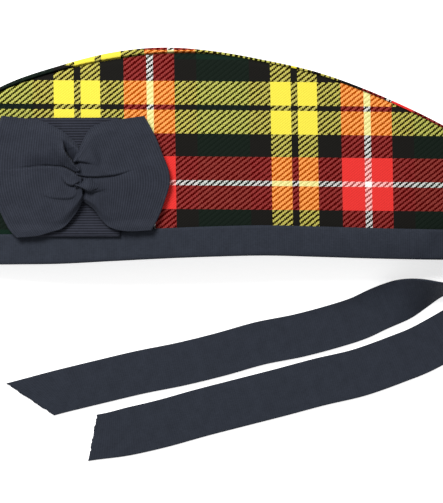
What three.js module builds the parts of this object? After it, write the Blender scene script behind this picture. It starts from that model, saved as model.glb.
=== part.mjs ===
// A folded tartan glengarry cap of size 58, lying on its right side, with a ribbon cockade and two tails.
// Millimetres. +X runs to the back of the cap, +Y to its ridge, +Z up from the surface that it lies on.
// The origin is on the underside of the right wall, at half the cap's length.
import * as THREE from "three";

// Cap
const LENGTH = 290;
const HEIGHT = 122;
const HEM_DROP = 63.3; // from the origin down to the lowest point of the band
const WALL = 2.2; // tartan, canvas and lining together
const GAP = 0.3; // between pieces that are sewn together
const FRONT_CORNER = 26;
const BACK_CORNER = 12;
const END_ROUND = 6; // radius of the wall where it turns at the front and back seams
const MOUTH_RISE = 19; // how far the left wall arches at the band
const RIDGE_RISE = 9; // and at the ridge
const SWELL = 3; // and more at half its height

// Crown, the gusset that folds in between the walls
const CROWN_CLOTH = 1.2;
const CROWN_DEPTH = 45;
const CROWN_TIP_DEPTH = 4;
const CROWN_FOLD = 1.3; // half the height of the fold's inner edge
const LIP = 4.2; // how far the crown rolls out past the walls

// Band, a ribbon folded over the hem
const BAND_HEIGHT = 17;
const BAND_RIBBON = 1;
const BAND_CLEAR = 1.46; // what lies over the band on the left keeps this far from the wall
const BAND_EASE = 12; // the right wall settles to the surface over this distance above the band

// Cockade
const COCKADE_FROM_FRONT = 70;
const COCKADE_ABOVE_HEM = 47.5;
const COCKADE_HALF_HEIGHT = 35;
const PAD_WIDTH = 63;
const PAD_THICKNESS = 2;
const PAD_TOP = 0.98; // share of the cockade's half height
const PAD_FOOT = -0.92; // share of the cockade's half height
const WING_SPAN = 33;
const WING_BULGE = 12;
const WING_EDGE = 2.2;
const WING_LOFT = 6.5;
const PLEAT = 2.2;
const WING_CROWN = 0.2; // how much each wing's loose end arches
const KNOT_WIDTH = 9;
const KNOT_HEIGHT = 25;
const KNOT_LOFT = 10;

// Tails
const INNER_TAIL_WIDTH = 24.5;
const OUTER_TAIL_WIDTH = 27;
const TAIL_RIBBON = 1;
const TAIL_REACH = 250; // the routes below are shares of this
const INNER_SLANT = 20.7; // how much further the upper edge of its free end reaches
const OUTER_SLANT = -9.4;
const TAIL_STEP = 8; // length of ribbon between two stations
const SLANT_STATIONS = 4; // the stations before a free end that lean with its slanting cut

const HALF = LENGTH / 2;
const WALL_STEPS = 32;
const WALL_ROWS = 9;
const BAND_ROWS = 2; // of them under the band
const CROWN_FIRST = 4; // the wall station where the crown's tip is sewn in
const EPSILON = 1e-4;

// The cap's side view: at is the share of LENGTH from the front, hem and top are of HEIGHT, and lip of LIP.
const OUTLINE = [
  { at: 0.0, hem: 0.0, top: 0.703, lip: 0.36 },
  { at: 0.1, hem: 0.002, top: 0.835, lip: 0.7 },
  { at: 0.2, hem: 0.005, top: 0.916, lip: 0.76 },
  { at: 0.3, hem: 0.017, top: 0.976, lip: 1.0 },
  { at: 0.4, hem: 0.029, top: 1.0, lip: 0.86 },
  { at: 0.5, hem: 0.038, top: 0.983, lip: 0.45 },
  { at: 0.6, hem: 0.043, top: 0.941, lip: 0.36 },
  { at: 0.7, hem: 0.037, top: 0.886, lip: 0.36 },
  { at: 0.8, hem: 0.03, top: 0.801, lip: 0.36 },
  { at: 0.9, hem: 0.025, top: 0.696, lip: 0.4 },
  { at: 1.0, hem: 0.023, top: 0.571, lip: 0.36 },
];

// The cockade's wings: at is the share of WING_SPAN from the knot, the rest are of COCKADE_HALF_HEIGHT.
const WINGS = [
  { at: 0.0, rearTop: 0.7, rearFoot: -0.41, frontTop: 0.6, frontFoot: -0.7 },
  { at: 0.1, rearTop: 0.81, rearFoot: -0.5, frontTop: 0.68, frontFoot: -0.79 },
  { at: 0.2, rearTop: 0.86, rearFoot: -0.62, frontTop: 0.75, frontFoot: -0.83 },
  { at: 0.35, rearTop: 0.91, rearFoot: -0.77, frontTop: 0.85, frontFoot: -0.87 },
  { at: 0.6, rearTop: 0.94, rearFoot: -0.84, frontTop: 0.93, frontFoot: -0.93 },
  { at: 1.0, rearTop: 1.0, rearFoot: -0.86, frontTop: 1.0, frontFoot: -0.95 },
];

// Pleats gathered into the knot: across and wide are shares of the wing's height, and high of PLEAT.
const PLEATS = [
  { across: 0.22, wide: 0.1, high: 0.6 },
  { across: 0.47, wide: 0.09, high: 1.0 },
  { across: 0.76, wide: 0.1, high: 0.8 },
];

// Routes of the tails from the cap's back to their free ends. back is how far a point is behind the cap and
// below how far it is under the hem there, as shares of TAIL_REACH. roll turns the ribbon on its edge, in
// degrees. foot is the height of its lower edge: 0 on the surface, and 1 on the band.
const INNER_ROUTE = [
  { back: -0.056, below: -0.037, roll: 0, foot: 1 },
  { back: -0.024, below: -0.037, roll: 3, foot: 0.88 },
  { back: 0.011, below: -0.034, roll: 20, foot: 0.52 },
  { back: 0.043, below: -0.022, roll: 55, foot: 0.16 },
  { back: 0.061, below: 0.004, roll: 82, foot: 0.02 },
  { back: 0.054, below: 0.034, roll: 90, foot: 0 },
  { back: 0.025, below: 0.054, roll: 90, foot: 0 },
  { back: -0.011, below: 0.06, roll: 88, foot: 0 },
  { back: -0.04, below: 0.063, roll: 82, foot: 0 },
  { back: -0.074, below: 0.067, roll: 69, foot: 0 },
  { back: -0.118, below: 0.077, roll: 43, foot: 0 },
  { back: -0.163, below: 0.092, roll: 15, foot: 0 },
  { back: -0.208, below: 0.11, roll: 3, foot: 0 },
  { back: -0.253, below: 0.129, roll: 0, foot: 0 },
  { back: -0.298, below: 0.146, roll: 0, foot: 0 },
  { back: -0.387, below: 0.17, roll: 0, foot: 0 },
  { back: -0.477, below: 0.188, roll: 0, foot: 0 },
  { back: -0.566, below: 0.213, roll: 0, foot: 0 },
  { back: -0.656, below: 0.235, roll: 0, foot: 0 },
  { back: -0.746, below: 0.253, roll: 0, foot: 0 },
  { back: -0.835, below: 0.274, roll: 0, foot: 0 },
  { back: -0.925, below: 0.296, roll: 0, foot: 0 },
  { back: -0.992, below: 0.314, roll: 0, foot: 0 },
];
const OUTER_ROUTE = [
  { back: -0.056, below: -0.037, roll: 0, foot: 1.1 },
  { back: -0.024, below: -0.037, roll: 3, foot: 0.98 },
  { back: 0.014, below: -0.038, roll: 27, foot: 0.69 },
  { back: 0.048, below: -0.038, roll: 64, foot: 0.32 },
  { back: 0.079, below: -0.008, roll: 83, foot: 0.06 },
  { back: 0.099, below: 0.036, roll: 88, foot: 0 },
  { back: 0.086, below: 0.076, roll: 84, foot: 0 },
  { back: 0.054, below: 0.11, roll: 68, foot: 0 },
  { back: 0.016, below: 0.134, roll: 42, foot: 0 },
  { back: -0.029, below: 0.157, roll: 17, foot: 0 },
  { back: -0.074, below: 0.178, roll: 4, foot: 0 },
  { back: -0.118, below: 0.2, roll: 0, foot: 0 },
  { back: -0.163, below: 0.218, roll: 0, foot: 0 },
  { back: -0.253, below: 0.251, roll: 0, foot: 0 },
  { back: -0.342, below: 0.272, roll: 0, foot: 0 },
  { back: -0.432, below: 0.299, roll: 0, foot: 0 },
  { back: -0.522, below: 0.322, roll: 0, foot: 0 },
  { back: -0.611, below: 0.345, roll: 0, foot: 0 },
  { back: -0.701, below: 0.37, roll: 0, foot: 0 },
  { back: -0.79, below: 0.39, roll: 0, foot: 0 },
  { back: -0.854, below: 0.401, roll: 0, foot: 0 },
];
const { lerp, smoothstep, clamp, degToRad } = THREE.MathUtils;

// A smooth function through one column of a table.
function column(rows, name) {
  const slope = rows.map((row, i) => {
    const before = rows[Math.max(i - 1, 0)];
    const after = rows[Math.min(i + 1, rows.length - 1)];
    return (after[name] - before[name]) / (after.at - before.at);
  });
  return (at) => {
    const last = rows.length - 2;
    const i = clamp(rows.findIndex((row) => row.at > at) - 1, 0, last);
    const k = at >= rows[last].at ? last : i;
    const step = rows[k + 1].at - rows[k].at;
    const t = (at - rows[k].at) / step;
    const rise = rows[k + 1][name] - rows[k][name];
    const start = slope[k] * step;
    const end = slope[k + 1] * step;
    const square = 3 * rise - 2 * start - end;
    const cube = start + end - 2 * rise;
    return rows[k][name] + start * t + square * t ** 2 + cube * t ** 3;
  };
}

// A closed solid between two faces, each a function of whole numbers i and j that returns a Vector3.
function sheetSolid(columns, rows, outer, inner) {
  const count = (columns + 1) * (rows + 1);
  const points = new Float32Array(count * 6);
  const indices = [];
  for (let i = 0; i <= columns; i++) {
    for (let j = 0; j <= rows; j++) {
      const at = i * (rows + 1) + j;
      outer(i, j).toArray(points, at * 3);
      inner(i, j).toArray(points, (count + at) * 3);
    }
  }
  const quad = (a, b, c, d) => indices.push(a, b, c, a, c, d);
  for (let i = 0; i < columns; i++) {
    for (let j = 0; j < rows; j++) {
      const a = i * (rows + 1) + j;
      const b = a + rows + 1;
      quad(a, b, b + 1, a + 1);
      quad(count + a, count + a + 1, count + b + 1, count + b);
    }
  }
  const rim = (a, b) => quad(a, count + a, count + b, b);
  for (let i = 0; i < columns; i++) {
    rim(i * (rows + 1), (i + 1) * (rows + 1));
    rim((i + 1) * (rows + 1) + rows, i * (rows + 1) + rows);
  }
  for (let j = 0; j < rows; j++) {
    rim(j + 1, j);
    rim(columns * (rows + 1) + j, columns * (rows + 1) + j + 1);
  }
  const geometry = new THREE.BufferGeometry();
  geometry.setAttribute("position", new THREE.BufferAttribute(points, 3));
  geometry.setIndex(indices);
  geometry.computeVertexNormals();
  return geometry;
}

// A flat line of [y, out] points moved sideways by a distance, mitred at its corners.
function offsetLine(line, distance) {
  return line.map((point, i) => {
    const before = line[Math.max(i - 1, 0)];
    const after = line[Math.min(i + 1, line.length - 1)];
    const into = new THREE.Vector2(point[0] - before[0], point[1] - before[1]);
    const onward = new THREE.Vector2(after[0] - point[0], after[1] - point[1]);
    const a = (into.lengthSq() ? into : onward).clone().normalize();
    const b = (onward.lengthSq() ? onward : into).clone().normalize();
    const along = a.clone().add(b).normalize();
    const reach = distance / Math.max(along.dot(a), 0.5);
    return [point[0] - along.y * reach, point[1] + along.x * reach];
  });
}

// Cap outline
const hemShare = column(OUTLINE, "hem");
const topShare = column(OUTLINE, "top");
const lipShare = column(OUTLINE, "lip");
const alongCap = (x) => (x + HALF) / LENGTH;
function corner(distance, radius) {
  const short = Math.max(radius - distance, 0);
  return radius - Math.sqrt(radius ** 2 - short ** 2);
}
const bandEdge = (x) => -HEM_DROP + HEIGHT * hemShare(alongCap(x));
const hem = (x) => bandEdge(x) + BAND_RIBBON + GAP;
const outline = (x) =>
  -HEM_DROP +
  HEIGHT * topShare(alongCap(x)) -
  corner(HALF + x, FRONT_CORNER) -
  corner(HALF - x, BACK_CORNER);
const lip = (x) => Math.max(LIP * lipShare(alongCap(x)), GAP + CROWN_CLOTH);
const shareOfX = (x) => Math.acos(clamp(-x / HALF, -1, 1)) / Math.PI;
// Where the crown ends, the walls reach up to the outline and meet each other.
function ridge(x) {
  const station = WALL_STEPS * shareOfX(-Math.abs(x));
  return outline(x) - lip(x) * clamp(station - CROWN_FIRST + 1, 0, 1);
}

// Walls: u runs from 0 at the front seam to 1 at the back. side is 1 for the left wall, -1 for the right.
const stationX = (u) => -HALF * Math.cos(Math.PI * u);
const turn = (x) => {
  const distance = Math.min(HALF - Math.abs(x), END_ROUND);
  return Math.sqrt(1 - (1 - distance / END_ROUND) ** 2);
};
function leftRise(x, y) {
  const share = (y - hem(x)) / (ridge(x) - hem(x));
  const rise = lerp(MOUTH_RISE, RIDGE_RISE, share) + SWELL * 4 * share * (1 - share);
  return END_ROUND * turn(x) + rise * (1 - (x / HALF) ** 2);
}
function rightDrop(x, y) {
  const bandTop = bandEdge(x) + BAND_HEIGHT;
  const underBand = (BAND_RIBBON + GAP) * (1 - smoothstep(y, bandTop + GAP, bandTop + BAND_EASE));
  return (END_ROUND - GAP / 2 - underBand) * turn(x);
}
function wallPoint(side, u, y) {
  const x = stationX(u);
  const fromSeam = GAP / 2 + (side > 0 ? leftRise(x, y) : rightDrop(x, y));
  return new THREE.Vector3(x, y, END_ROUND + side * fromSeam);
}
function outward(side, u, y) {
  const ahead = wallPoint(side, Math.min(u + EPSILON, 1), y);
  const forward = ahead.sub(wallPoint(side, Math.max(u - EPSILON, 0), y));
  const upward = wallPoint(side, u, y + EPSILON).sub(wallPoint(side, u, y - EPSILON));
  return forward.cross(upward).multiplyScalar(side).normalize();
}
const wall = (side, u, y, out) => wallPoint(side, u, y).addScaledVector(outward(side, u, y), out);

// The walls' rows: the first few reach just over the band's top, and the others the ridge.
function rowHeight(x, j) {
  const bandTop = bandEdge(x) + BAND_HEIGHT + GAP;
  return j < BAND_ROWS
    ? lerp(hem(x), bandTop, j / BAND_ROWS)
    : lerp(bandTop, ridge(x), (j - BAND_ROWS) / (WALL_ROWS - BAND_ROWS));
}
function wallSolid(side) {
  const point = (out) => (i, j) => {
    const u = i / WALL_STEPS;
    return wall(side, u, rowHeight(stationX(u), j), out);
  };
  return side > 0
    ? sheetSolid(WALL_STEPS, WALL_ROWS, point(0), point(-WALL))
    : sheetSolid(WALL_STEPS, WALL_ROWS, point(-WALL), point(0));
}

// Crown: a section goes from the left wall's edge over the lip, in to the fold, and back to the right wall.
function crownSection(u) {
  const x = stationX(u);
  const edge = ridge(x);
  const left = wallPoint(1, u, edge).z;
  const right = wallPoint(-1, u, edge).z;
  const reach = lip(x) - GAP - CROWN_CLOTH;
  const radius = (WALL + GAP) / 2;
  const roll = (z, way) =>
    [90, 45, 0, -45, -90].map((angle) => [
      edge + GAP + CROWN_CLOTH / 2 + reach * Math.cos(degToRad(angle)),
      z - way * (radius + CROWN_CLOTH / 2) + way * radius * Math.sin(degToRad(angle)),
    ]);
  const share = (u * WALL_STEPS - CROWN_FIRST) / (WALL_STEPS - 2 * CROWN_FIRST);
  const depth = lerp(CROWN_TIP_DEPTH, CROWN_DEPTH, Math.sin(Math.PI * clamp(share, 0, 1)) ** 0.8);
  const middle = (left + right) / 2;
  const fold = (way) => [edge - depth, middle + way * CROWN_FOLD];
  const seam = (z, way) => z - way * (WALL + GAP + CROWN_CLOTH / 2);
  const leaf = (z, way) => [edge - depth / 2, (seam(z, way) + fold(way)[1]) / 2];
  const upper = [...roll(left, 1), leaf(left, 1), fold(1)];
  const lower = [...roll(right, -1), leaf(right, -1), fold(-1)];
  return [...upper, ...lower.reverse()];
}
function crownSolid() {
  const stations = WALL_STEPS - 2 * CROWN_FIRST;
  const share = (i) => (i + CROWN_FIRST) / WALL_STEPS;
  const sections = Array.from({ length: stations + 1 }, (_, i) => crownSection(share(i)));
  const face = (distance) => {
    const lines = sections.map((section) => offsetLine(section, distance));
    return (i, j) => new THREE.Vector3(stationX(share(i)), ...lines[i][j]);
  };
  return sheetSolid(stations, sections[0].length - 1, face(CROWN_CLOTH / 2), face(-CROWN_CLOTH / 2));
}

// Band: the ribbon's section runs down the outside of the wall, round the hem and up the inside.
function bandSection(x) {
  const edge = bandEdge(x);
  const top = edge + BAND_HEIGHT;
  const outside = GAP + BAND_RIBBON / 2;
  const inside = -WALL - GAP - BAND_RIBBON / 2;
  const round = [0, 45, 90, 135, 180].map((angle) => [
    hem(x) - outside * Math.sin(degToRad(angle)),
    -WALL / 2 + ((outside - inside) / 2) * Math.cos(degToRad(angle)),
  ]);
  return [[top, outside], ...round, [top, inside]];
}
function bandSolid() {
  const onLeft = (i) => ({ side: 1, u: 1 - i / WALL_STEPS });
  const onRight = (i) => ({ side: -1, u: (i - WALL_STEPS - 1) / WALL_STEPS });
  const face = (distance) => (i, j) => {
    const { side, u } = i <= WALL_STEPS ? onLeft(i) : onRight(i);
    const line = offsetLine(bandSection(stationX(u)), distance);
    return wall(side, u, ...line[j]);
  };
  const points = bandSection(0).length - 1;
  return sheetSolid(2 * WALL_STEPS + 1, points, face(-BAND_RIBBON / 2), face(BAND_RIBBON / 2));
}

// Cockade: its pieces are laid on the left wall and the band, whose height at a place this gives.
function capTop(x, y) {
  const bandTop = bandEdge(x) + BAND_HEIGHT;
  const overBand = BAND_CLEAR * (1 - smoothstep(y, bandTop + BAND_RIBBON, bandTop + BAND_EASE / 2));
  return wallPoint(1, shareOfX(x), y).z + overBand;
}
const COCKADE_X = COCKADE_FROM_FRONT - HALF;
const COCKADE_Y = bandEdge(COCKADE_X) + COCKADE_ABOVE_HEM;
const padBase = (x, y) => capTop(x, y) + GAP;
const wingBase = (x, y) => padBase(x, y) + PAD_THICKNESS + GAP;
const frontTop = column(WINGS, "frontTop");
const frontFoot = column(WINGS, "frontFoot");
const rearTop = column(WINGS, "rearTop");
const rearFoot = column(WINGS, "rearFoot");

function padSolid() {
  const steps = 10;
  const rows = 20;
  const bevel = PAD_THICKNESS / 4;
  const place = (i, j) => {
    const x = COCKADE_X + PAD_WIDTH * (i / steps - 0.5);
    const share = j / rows;
    const y = COCKADE_Y + COCKADE_HALF_HEIGHT * lerp(PAD_FOOT, PAD_TOP, share);
    return [x, y, share];
  };
  const face = (high) => (i, j) => {
    const [x, y, share] = place(i, j);
    const rounded = share === 0 || share === 1 ? bevel : 0;
    return new THREE.Vector3(x, y, padBase(x, y) + (high ? PAD_THICKNESS - rounded : rounded));
  };
  return sheetSolid(steps, rows, face(true), face(false));
}

// A wing's thickness: s runs from 0 at the knot to 1 at the loose end, and t from its foot to its top.
function wingThickness(s, t) {
  const gathered = (1 - s) ** 1.5;
  const waves = PLEATS.map(({ across, wide, high }) => high * Math.exp(-(((t - across) / wide) ** 2)));
  const loft = WING_LOFT + PLEAT * waves.reduce((a, b) => a + b);
  const rim = smoothstep(Math.min(t, 1 - t), 0, 0.12);
  return WING_EDGE + rim * (gathered * loft + WING_CROWN * 4 * s * (1 - s));
}
function wingSolid(way) {
  const steps = 10;
  const rows = 20;
  const topOf = way > 0 ? rearTop : frontTop;
  const footOf = way > 0 ? rearFoot : frontFoot;
  const point = (lofted) => (i, j) => {
    const s = i / steps;
    const t = j / rows;
    const reach = KNOT_WIDTH / 2 + GAP + WING_SPAN * s + WING_BULGE * s * 4 * t * (1 - t);
    const x = COCKADE_X + way * reach;
    const y = COCKADE_Y + COCKADE_HALF_HEIGHT * lerp(footOf(s), topOf(s), t);
    return new THREE.Vector3(x, y, wingBase(x, y) + (lofted ? wingThickness(s, t) : 0));
  };
  return way > 0
    ? sheetSolid(steps, rows, point(true), point(false))
    : sheetSolid(steps, rows, point(false), point(true));
}

// The knot is the gathered middle: as high as the wings where it meets them, and waisted between them.
function knotSolid() {
  const steps = 8;
  const rows = 12;
  const waist = KNOT_HEIGHT / 2 / COCKADE_HALF_HEIGHT;
  const point = (lofted) => (i, j) => {
    const a = (2 * i) / steps - 1;
    const t = j / rows;
    const spread = Math.abs(a) ** 1.5;
    const top = lerp(waist, (a > 0 ? rearTop : frontTop)(0), spread);
    const foot = lerp(-waist, (a > 0 ? rearFoot : frontFoot)(0), spread);
    const x = COCKADE_X + (KNOT_WIDTH / 2) * a;
    const y = COCKADE_Y + COCKADE_HALF_HEIGHT * lerp(foot, top, t);
    const dome = (1 - 0.3 * a * a) * smoothstep(Math.min(t, 1 - t), 0, 0.3);
    return new THREE.Vector3(x, y, wingBase(x, y) + (lofted ? lerp(WING_EDGE, KNOT_LOFT, dome) : 0));
  };
  return sheetSolid(steps, rows, point(true), point(false));
}

// Tails: a ribbon swept along its route.
function tailPoint({ back, below }) {
  return { x: HALF + TAIL_REACH * back, y: bandEdge(HALF) - TAIL_REACH * below };
}
const sewn = tailPoint(INNER_ROUTE[0]);
const SEAT = capTop(sewn.x, sewn.y) + GAP;
function tailSolid(route, width, slant) {
  const curve = (place) => new THREE.CatmullRomCurve3(route.map(place), false, "centripetal");
  const line = curve((row) => new THREE.Vector3(tailPoint(row).x, tailPoint(row).y, row.foot * SEAT));
  const rolls = curve((row) => new THREE.Vector3(row.roll, 0, 0));
  const stations = Math.ceil(line.getLength() / TAIL_STEP);
  line.arcLengthDivisions = 400;
  const face = (high) => (i, j) => {
    const share = line.getUtoTmapping(i / stations);
    const foot = line.getPoint(share);
    foot.z = Math.max(foot.z, 0);
    const along = line.getTangent(share).setZ(0).normalize();
    const left = new THREE.Vector3(-along.y, along.x, 0);
    const roll = degToRad(clamp(rolls.getPoint(share).x, 0, 90));
    const across = left.clone().multiplyScalar(Math.cos(roll)).setZ(-Math.sin(roll));
    const normal = left.clone().multiplyScalar(Math.sin(roll)).setZ(Math.cos(roll));
    const lift = (width / 2) * Math.sin(roll) + (TAIL_RIBBON / 2) * Math.cos(roll);
    const centre = foot.setZ(foot.z + lift);
    const side = j - 1;
    const cut = (-slant / 2) * side * clamp(1 - (stations - i) / SLANT_STATIONS, 0, 1);
    return centre
      .addScaledVector(across, (side * width) / 2)
      .addScaledVector(normal, (high ? 0.5 : -0.5) * TAIL_RIBBON)
      .addScaledVector(along, cut);
  };
  return sheetSolid(stations, 2, face(true), face(false));
}

const tartan = new THREE.MeshStandardMaterial({ color: "#7d6a35", roughness: 0.9, metalness: 0 });
const ribbon = new THREE.MeshStandardMaterial({ color: "#343943", roughness: 0.75, metalness: 0 });

const cap = new THREE.Group();
function add(name, geometry, material) {
  const mesh = new THREE.Mesh(geometry, material);
  mesh.name = name;
  cap.add(mesh);
}
add("left_side", wallSolid(1), tartan);
add("right_side", wallSolid(-1), tartan);
add("crown", crownSolid(), tartan);
add("band", bandSolid(), ribbon);
add("cockade_pad", padSolid(), ribbon);
add("cockade_rear_wing", wingSolid(1), ribbon);
add("cockade_front_wing", wingSolid(-1), ribbon);
add("cockade_knot", knotSolid(), ribbon);
add("tail_inner", tailSolid(INNER_ROUTE, INNER_TAIL_WIDTH, INNER_SLANT), ribbon);
add("tail_outer", tailSolid(OUTER_ROUTE, OUTER_TAIL_WIDTH, OUTER_SLANT), ribbon);

export default cap;
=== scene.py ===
# %% [markdown]
# A folded tartan glengarry, seen from straight above as a flat lay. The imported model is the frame: every new piece
# is modelled over one of its solids, in metres, in the same place. The cap lies on its right side with its front
# to the left, so +X is its back, +Y its ridge and +Z is up.

# %% The frame
import math
from math import cos, pi, radians, sin

import bmesh
import bpy
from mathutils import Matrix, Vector, noise


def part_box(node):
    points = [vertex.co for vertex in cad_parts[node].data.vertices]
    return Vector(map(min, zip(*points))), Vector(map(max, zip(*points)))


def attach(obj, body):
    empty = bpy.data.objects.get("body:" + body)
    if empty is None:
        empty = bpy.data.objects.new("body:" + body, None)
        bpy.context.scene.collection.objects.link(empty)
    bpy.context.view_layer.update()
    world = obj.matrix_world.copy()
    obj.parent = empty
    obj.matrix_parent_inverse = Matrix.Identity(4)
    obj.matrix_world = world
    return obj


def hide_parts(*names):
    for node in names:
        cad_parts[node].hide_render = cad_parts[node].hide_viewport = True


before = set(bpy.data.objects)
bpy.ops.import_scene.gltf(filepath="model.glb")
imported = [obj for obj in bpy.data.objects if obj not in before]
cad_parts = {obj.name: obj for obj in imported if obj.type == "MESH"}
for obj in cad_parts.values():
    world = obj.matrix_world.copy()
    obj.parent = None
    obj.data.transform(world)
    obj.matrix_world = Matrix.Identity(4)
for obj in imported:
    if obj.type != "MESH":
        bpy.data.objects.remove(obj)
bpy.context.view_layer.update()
MM = 0.001
print("nodes:", sorted(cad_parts))

# %% [markdown]
# The photograph is a flat lay taken from above with a long lens, which keeps both ends of the cap in true
# proportion. The camera looks straight down, and its picture covers the same stretch of table as the photo does.

# %% The camera
PHOTO_SIZE = (443, 503)
PIXEL = 0.56 * MM
CAP_LEVEL = 22 * MM
LENS = 400
SENSOR = 36
PHOTO_ORIGIN = (214, 152)


def from_photo(x, y):
    """The place on the table under a pixel of the photograph."""
    return Vector(((x - PHOTO_ORIGIN[0]) * PIXEL, (PHOTO_ORIGIN[1] - y) * PIXEL, 0))


camera = bpy.data.objects.new("camera", bpy.data.cameras.new("camera"))
camera.data.lens = LENS
camera.data.sensor_width = SENSOR
camera.data.clip_end = 100
camera.location = from_photo(PHOTO_SIZE[0] / 2, PHOTO_SIZE[1] / 2)
camera.location.z = CAP_LEVEL + PHOTO_SIZE[1] * PIXEL * LENS / SENSOR
bpy.context.scene.collection.objects.link(camera)
bpy.context.scene.camera = camera
print("camera height in metres:", round(camera.location.z, 3))

# %% [markdown]
# A finish is a tree of shader nodes, which work in linear light. So every hex colour goes through one function.

# %% Colours and nodes
def linear(colour):
    """An sRGB hex colour as linear RGBA."""
    channels = [int(colour[i : i + 2], 16) / 255 for i in (1, 3, 5)]
    return [c / 12.92 if c <= 0.04045 else ((c + 0.055) / 1.055) ** 2.4 for c in channels] + [1]


def add_node(tree, kind, settings=None, inputs=None):
    """Adds a shader node, with its settings, and its inputs given as values or as the sockets that feed them."""
    node = tree.nodes.new(kind)
    for name, value in (settings or {}).items():
        setattr(node, name, value)
    for name, value in (inputs or {}).items():
        if isinstance(value, bpy.types.NodeSocket):
            tree.links.new(value, node.inputs[name])
        else:
            node.inputs[name].default_value = value
    return node


def math_node(tree, operation, a, b=0.0, c=0.0):
    """Maths on up to three terms, each a value or a socket."""
    return add_node(tree, "ShaderNodeMath", {"operation": operation}, {0: a, 1: b, 2: c}).outputs[0]


def scaled(tree, a, factor, more=0.0):
    """A term times a factor, and more added."""
    return math_node(tree, "MULTIPLY_ADD", a, factor, more)


def new_material(name):
    material = bpy.data.materials.new(name)
    material.use_nodes = True
    tree = material.node_tree
    return material, tree, tree.nodes["Principled BSDF"]


print("the grey #808080 is", round(linear("#808080")[0], 3), "in linear light")

# %% [markdown]
# A packshot lies on a white table. Here it is matt card, which shows no highlight and glows a little, so it stays
# white in the cap's shade.

# %% The table
TABLE_SIZE = 6
TABLE_DROP = 0.2 * MM
TABLE_GLOW = 0.65

bm = bmesh.new()
bmesh.ops.create_grid(bm, x_segments=1, y_segments=1, size=TABLE_SIZE / 2)
bmesh.ops.translate(bm, verts=bm.verts, vec=(0, 0, -TABLE_DROP))
table_mesh = bpy.data.meshes.new("table")
bm.to_mesh(table_mesh)
bm.free()
table = bpy.data.objects.new("table", table_mesh)
bpy.context.scene.collection.objects.link(table)
white, tree, surface = new_material("white_card")
surface.inputs["Base Color"].default_value = linear("#fbfbfb")
surface.inputs["Roughness"].default_value = 0.9
surface.inputs["Emission Color"].default_value = linear("#ffffff")
surface.inputs["Emission Strength"].default_value = TABLE_GLOW
table.data.materials.append(white)
print("the table is", TABLE_SIZE, "m wide")

# %% [markdown]
# The light is very soft. One big lamp above and to the left gives the ribs and the folds their shading, and white
# surroundings fill the shadows. The Standard view keeps white as white.

# %% The light
ROOM_LIGHT = 0.46
SOFTBOX = {"place": (-0.8, 1.2, 1.7), "aim": (0, -0.04, 0), "size": 1.0, "power": 54}

world = bpy.data.worlds.new("white_room")
world.use_nodes = True
world.node_tree.nodes["Background"].inputs["Color"].default_value = linear("#ffffff")
world.node_tree.nodes["Background"].inputs["Strength"].default_value = ROOM_LIGHT
bpy.context.scene.world = world


def add_lamp(name, place, aim, size, power):
    data = bpy.data.lights.new(name, "AREA")
    data.shape = "DISK"
    data.size = size
    data.energy = power
    lamp = bpy.data.objects.new(name, data)
    lamp.location = place
    lamp.rotation_euler = (Vector(aim) - Vector(place)).to_track_quat("-Z", "Y").to_euler()
    bpy.context.scene.collection.objects.link(lamp)


add_lamp("softbox", **SOFTBOX)
bpy.context.scene.view_settings.view_transform = "Standard"
print("lamps:", len(bpy.data.lights))

# %% [markdown]
# Every sheet here is made the same way: create_grid gives a flat sheet, which is then bent into place point by
# point, as cloth is. The cloth's own flat coordinates are kept as the UV map, in metres, so a weave follows the
# cloth through each bend. A Solidify modifier then gives the sheet its thickness.

# %% Bending a sheet
def smooth(value, low, high):
    t = min(max((value - low) / (high - low), 0), 1)
    return t * t * (3 - 2 * t)


def mix(a, b, t):
    return a + (b - a) * t


def new_piece(name, bm, material, slot, *nodes):
    """Makes an object of a mesh, gives it its finish and its body, and hides the nodes that it replaces."""
    mesh = bpy.data.meshes.new(name)
    bm.to_mesh(mesh)
    bm.free()
    mesh.materials.append(material)
    for face in mesh.polygons:
        face.use_smooth = True
    piece = bpy.data.objects.new(name, mesh)
    bpy.context.scene.collection.objects.link(piece)
    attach(piece, "root")
    if nodes:
        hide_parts(*nodes)
    print(name, "has", len(mesh.polygons), "faces")
    return piece


def bent_grid(columns, rows, place, cloth):
    """A grid whose point at s, t goes to place(s, t), and whose UV there is cloth(s, t), in metres."""
    bm = bmesh.new()
    bmesh.ops.create_grid(bm, x_segments=columns, y_segments=rows, size=0.5)
    uv = bm.loops.layers.uv.new("cloth")
    for face in bm.faces:
        for loop in face.loops:
            loop[uv].uv = cloth(loop.vert.co.x + 0.5, loop.vert.co.y + 0.5)
    for vert in bm.verts:
        vert.co = place(vert.co.x + 0.5, vert.co.y + 0.5)
    return bm


def thicken(piece, thickness, offset=-1):
    wall = piece.modifiers.new("thickness", "SOLIDIFY")
    wall.thickness = thickness
    wall.offset = offset
    return wall


def column(rows, k):
    """A smooth function through one column of a table, over its first column."""

    def slope(i):
        before, after = rows[max(i - 1, 0)], rows[min(i + 1, len(rows) - 1)]
        return (after[k] - before[k]) / (after[0] - before[0])

    def value(at):
        i = min(max(sum(row[0] <= at for row in rows) - 1, 0), len(rows) - 2)
        step = rows[i + 1][0] - rows[i][0]
        t = (at - rows[i][0]) / step
        rise = rows[i + 1][k] - rows[i][k]
        start, end = slope(i) * step, slope(i + 1) * step
        return rows[i][k] + start * t + (3 * rise - 2 * start - end) * t**2 + (start + end - 2 * rise) * t**3

    return value


# %% [markdown]
# The cap's side view follows the solids: the same few stations along its length give the hem, the ridge and how
# far the crown rolls out past the wall. Its walls are arched at the band, and close at both ends.

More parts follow.
